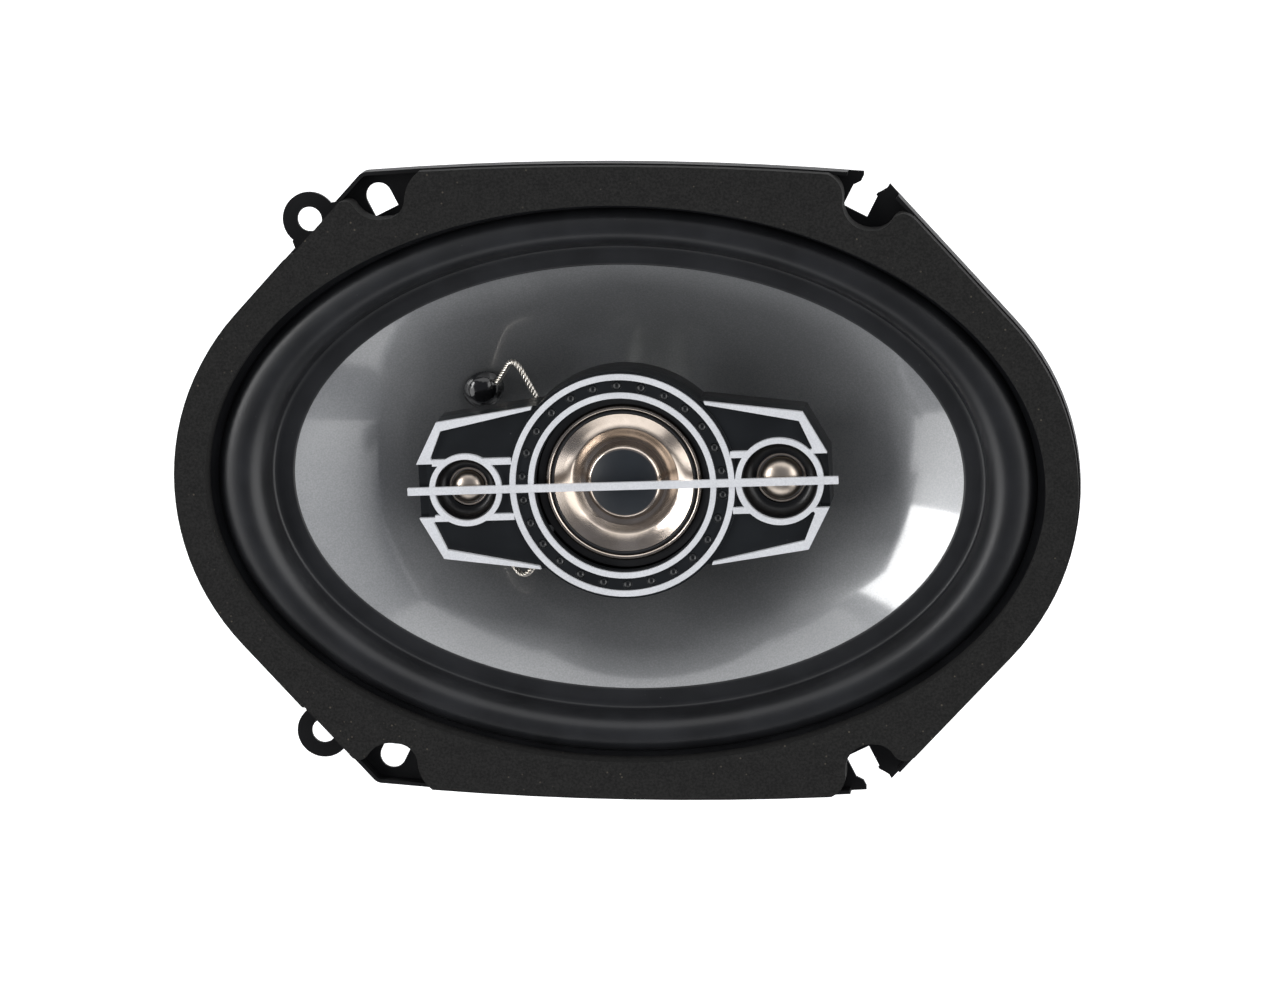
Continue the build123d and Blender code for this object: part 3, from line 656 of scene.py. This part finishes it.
lead("upperFrontLead", upperRoute, "upper_front_lead")
lead("lowerFrontLead", lowerRoute, "lower_front_lead")
lead("positiveRearLead", rearRoute(1), "positive_rear_lead")
lead("negativeRearLead", rearRoute(-1), "negative_rear_lead")
print("leads done")

# pod
finishedCopy("pod_base", "podTray", "tray", "frame_body", "black_plastic", 0.3)
finishedCopy("pod_bezel", "podBezel", "bezel", "frame_body", "black_plastic", 0.18)
finishedCopy("silver_trim", "silverTrim", "trim", "frame_body", "silver_trim", 0.2, 3)
print("pod done")

# midrange
midRim = {"middle": 18.92, "half": 0.77, "foot": 1.6, "rise": 1.1}
midHorn = {"edge": (17.3, 2.4), "break": (13.6, 0.78), "neck": (10.0, -1.3), "power": 1.1,
           "wall": 0.28, "steps": 12}
midCollar = {"foot": (9.98, -1.3), "top": (8.35, 2.0), "shoulder": (1.98, 3.35), "wall": 0.12,
             "lip": 0.32, "skirt": 0.85}
midCap = {"radius": 8.2, "rise": 1.2, "wall": 0.3}
midEdge = {"middle": (17.8, 2.15), "roll": (0.36, 0.35), "wall": 0.2}
midSides = 160


def midRimRing():
    middle, half, foot = midRim["middle"], midRim["half"], midRim["foot"]
    roll = arcRun((middle, foot), (half, midRim["rise"]), 180, 0, 12)
    ring = turnedStack("midRimRing", [*roll, (middle - half, foot)], midSides, closed=True)
    smoothBy(ring, 50)
    dress(ring, "midCone", "frame_body", "bronze_metal", "mid_rim_ring")


def midConeHorn():
    # flat outer part, then a steeper curved throat
    edgeSpot, corner, neck = midHorn["edge"], midHorn["break"], midHorn["neck"]
    profile = [edgeSpot, between(edgeSpot, corner, 0.5)]
    for i in range(midHorn["steps"] + 1):
        share = i / midHorn["steps"]
        drop = math.sin(share * math.pi / 2) ** midHorn["power"]
        profile.append((corner[0] + (neck[0] - corner[0]) * share, corner[1] + (neck[1] - corner[1]) * drop))
    horn = turnedStack("midCone", profile, midSides)
    faceUp(horn)
    thicken(horn, midHorn["wall"])
    smoothBy(horn, 50)
    dress(horn, "midCone", "mid_body", "bronze_metal", "mid_cone")


def midCentreRing():
    # raised collar with a rounded shoulder
    low, high, shoulder = midCollar["foot"], midCollar["top"], midCollar["shoulder"]
    bulge = arcRun((low[0] - shoulder[0], low[1]), shoulder, 0, 80, 12)
    inside = [(high[0] - midCollar["lip"], high[1]), (low[0] - midCollar["skirt"], low[1])]
    collar = turnedStack("midCentreRing", [*bulge, *inside], midSides)
    faceOut(collar)
    thicken(collar, midCollar["wall"])
    smoothBy(collar, 60)
    dress(collar, "midCone", "mid_body", "bronze_metal", "mid_centre_ring")


def midDustCap():
    # a slice of a ball, as wide as the collar's top
    radius, rise = midCap["radius"], midCap["rise"]
    ball = (radius ** 2 + rise ** 2) / (2 * rise)
    start = math.degrees(math.acos(radius / ball))
    profile = arcRun((0.0, midCollar["top"][1] + rise - ball), (ball, ball), start, 89.6, 16)
    cap = turnedStack("midCap", profile, midSides, pole=True)
    faceUp(cap)
    thicken(cap, midCap["wall"])
    smoothBy(cap, 50)
    dress(cap, "cap", "mid_body", "charcoal_cap", "mid_cap")


def midSurround():
    roll = turnedStack("midSurround", arcRun(midEdge["middle"], midEdge["roll"], 0, 180, 10), midSides)
    faceUp(roll)
    thicken(roll, midEdge["wall"])
    smoothBy(roll, 60)
    dress(roll, "rubber", "frame_body", "surround_rubber", "mid_surround")


midRimRing()
midConeHorn()
midCentreRing()
midDustCap()
midSurround()
print("midrange done")


# small tweeters
turn = math.radians(2.3)    # the pod's own turn on the frame
small = {"left": {"x": -39.0, "dome": 4.0, "cup": 7.6}, "right": {"x": 39.0, "dome": 5.3, "cup": 9.35}}
cupShape = {"foot": 0.95, "rim": 4.9, "inner": 1.0, "dish": (4.85, 3.2), "lip": 0.1}
domeShape = {"foot": 1.1, "rise": 0.62, "wall": 0.25}
domeRing = {"foot": 0.9, "inner": 0.25, "outer": 0.95, "roll": (0.35, 0.28), "middle": (0.6, 1.1)}
smallSides = 96


def tweeterCup(side, radius, wide, place):
    inner, foot = radius + cupShape["inner"], cupShape["foot"]
    level, depth = cupShape["dish"]
    dish = arcRun((inner, level), (wide - inner - cupShape["lip"], depth), 270, 360, 14)
    profile = [(inner, foot), *dish, (wide, cupShape["rim"]), (wide, foot), (inner, foot)]
    cup = turnedStack(side + "TweeterCup", profile, smallSides, closed=True, place=place)
    smoothBy(cup, 50)
    dress(cup, "cup", "frame_body", "gloss_black", side + "_tweeter_cup")


def tweeterDome(side, radius, place):
    profile = arcRun((0.0, domeShape["foot"]), (radius, radius * domeShape["rise"]), 2, 89.4, 18)
    dome = turnedStack(side + "Dome", profile, smallSides, pole=True, place=place)
    faceUp(dome)
    thicken(dome, domeShape["wall"])
    smoothBy(dome, 60)
    dress(dome, "dome", side + "_dome_body", "bronze_metal", side + "_dome")


def tweeterDomeRing(side, radius, place):
    first, last = (radius + domeRing[key] for key in ("inner", "outer"))
    foot, middle = domeRing["foot"], domeRing["middle"]
    roll = arcRun((radius + middle[0], middle[1]), domeRing["roll"], 180, 0, 6)
    profile = [(first, foot), *roll, (last, foot), (first, foot)]
    rim = turnedStack(side + "DomeRing", profile, smallSides, closed=True, place=place)
    smoothBy(rim, 50)
    dress(rim, "dome", "frame_body", "bronze_metal", side + "_dome_ring")


for side, shape in small.items():
    place = (shape["x"] * math.cos(turn), shape["x"] * math.sin(turn))
    tweeterCup(side, shape["dome"], shape["cup"], place)
    tweeterDome(side, shape["dome"], place)
    tweeterDomeRing(side, shape["dome"], place)
print("tweeters done")

# motor and terminals
finishedCopy("magnet_boot", "magnetBoot", "boot", "frame_body", "boot_rubber", 0.5, 3)
finishedCopy("front_plate", "frontPlate", "zinc", "frame_body", "zinc_steel", 0.3)
finishedCopy("yoke", "yokePlate", "zinc", "frame_body", "zinc_steel", 0.4)
finishedCopy("frame_rivets", "frameRivets", "zinc", "frame_body", "zinc_steel", 0.35, 3)
finishedCopy("terminal_board", "terminalBoard", "board", "frame_body", "phenolic", 0.2)
for sign in ("positive", "negative"):
    finishedCopy(sign + "_terminal", sign + "Terminal", "brass", "frame_body", "brass", 0.12)
finishedCopy("terminal_rivets", "terminalRivets", "brass", "frame_body", "brass", 0.2, 3)
finishedCopy("tweeter_post", "tweeterPost", "zinc", "frame_body", "zinc_steel", 0.25)
finishedCopy("pod_bolt", "podBolt", "zinc", "frame_body", "zinc_steel", 0.2)
finishedCopy("pod_screws", "podScrews", "blackZinc", "frame_body", "black_zinc", 0.15)
finishedCopy("cone_eyelets", "coneEyelets", "brass", "cone_body", "brass", 0.1)
print("motor and terminals done")

# the frame's own nodes that keep their shape and only take a finish
kept = {"foil": ["voice_coil_former"], "glue": ["neck_joint"], "tray": ["mid_frame"],
        "ferrite": ["magnet", "mid_magnet"],
        "copper": ["voice_coil", "mid_coil", "left_dome_coil", "right_dome_coil"],
        "zinc": ["pod_nut", "mid_yoke", "mid_top_plate", "left_tweeter_motor", "right_tweeter_motor"],
        "sleeve": ["left_capacitor", "right_capacitor", "mid_capacitor"]}
for finish, nodeNames in kept.items():
    for nodeName in nodeNames:
        nodes[nodeName].data.materials.clear()
        nodes[nodeName].data.materials.append(finishes[finish])
print("kept nodes dressed")


# floor, light and camera; powers in watts, angles in degrees
air = {"colour": (0.84, 0.88, 1.0, 1.0), "power": 0.2, "floorGlow": 0.6, "floorSize": 6.0, "floorGap": 0.0002}
lamps = {
    "leftWindow": {"place": (-0.99, 0.30, 0.79), "size": (0.72, 0.24), "power": 6},
    "leftWall": {"place": (-1.4, -0.45, 0.8), "size": (1.1, 1.3), "power": 11},
    "rightFill": {"place": (1.5, 0.0, 0.75), "size": (2.2, 1.6), "power": 30},
    "farFill": {"place": (0.1, 1.5, 0.7), "size": (3.6, 1.3), "power": 22},
    "lowFront": {"place": (-0.12, -1.25, 0.72), "size": (1.5, 0.42), "power": 3.6},
}


def studio():
    clearSelection()
    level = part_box("magnet_boot")[0].z - air["floorGap"]
    bpy.ops.mesh.primitive_plane_add(size=air["floorSize"], location=(0.0, 0.0, level))
    floor = bpy.context.object
    floor.name = "paleFloor"
    shade = Shade("paleFloor")
    cloud = shade.grain(3, 3)
    shade.finish(colour=shade.blendColour(cloud, (0.88, 0.88, 0.88), (0.92, 0.92, 0.92)), rough=0.9,
                 specular=0.1, glow=(1.0, 1.0, 1.0), glowPower=air["floorGlow"])
    floor.data.materials.append(shade.material)
    world = bpy.data.worlds.new("studioAir")
    world.use_nodes = True
    world.node_tree.nodes["Background"].inputs["Color"].default_value = air["colour"]
    world.node_tree.nodes["Background"].inputs["Strength"].default_value = air["power"]
    bpy.context.scene.world = world


def softbox(name, place, size, power):
    # every softbox looks at the middle of the speaker
    lamp = bpy.data.lights.new(name, "AREA")
    lamp.shape = "RECTANGLE"
    lamp.size, lamp.size_y = size
    lamp.energy = power
    holder = bpy.data.objects.new(name, lamp)
    holder.location = place
    holder.rotation_euler = (-Vector(place)).to_track_quat("-Z", "Y").to_euler()
    bpy.context.scene.collection.objects.link(holder)


view = {"right": 7.26, "up": 11.93, "roll": 0.8, "away": 1.2, "shiftX": 0.0037, "shiftY": -0.0034,
        "lens": 136.44, "sensor": 36.0}


def camera():
    right, up, roll = (math.radians(view[key]) for key in ("right", "up", "roll"))
    back = Vector((math.sin(right) * math.cos(up), math.sin(up), math.cos(right) * math.cos(up)))
    across = Vector((0.0, 1.0, 0.0)).cross(back).normalized()
    above = back.cross(across)
    acrossRolled = across * math.cos(roll) - above * math.sin(roll)
    aboveRolled = across * math.sin(roll) + above * math.cos(roll)
    lens = bpy.data.cameras.new("studioCamera")
    lens.lens = view["lens"]
    lens.sensor_width = view["sensor"]
    holder = bpy.data.objects.new("studioCamera", lens)
    place = back * view["away"] + acrossRolled * view["shiftX"] + aboveRolled * view["shiftY"]
    turned = Matrix((acrossRolled, aboveRolled, back)).transposed()
    holder.matrix_world = Matrix.Translation(place) @ turned.to_4x4()
    bpy.context.scene.collection.objects.link(holder)
    bpy.context.scene.camera = holder


studio()
for name, lamp in lamps.items():
    softbox(name, **lamp)
camera()
bpy.context.scene.view_settings.view_transform = "Standard"
print("studio done")

bpy.context.view_layer.update()
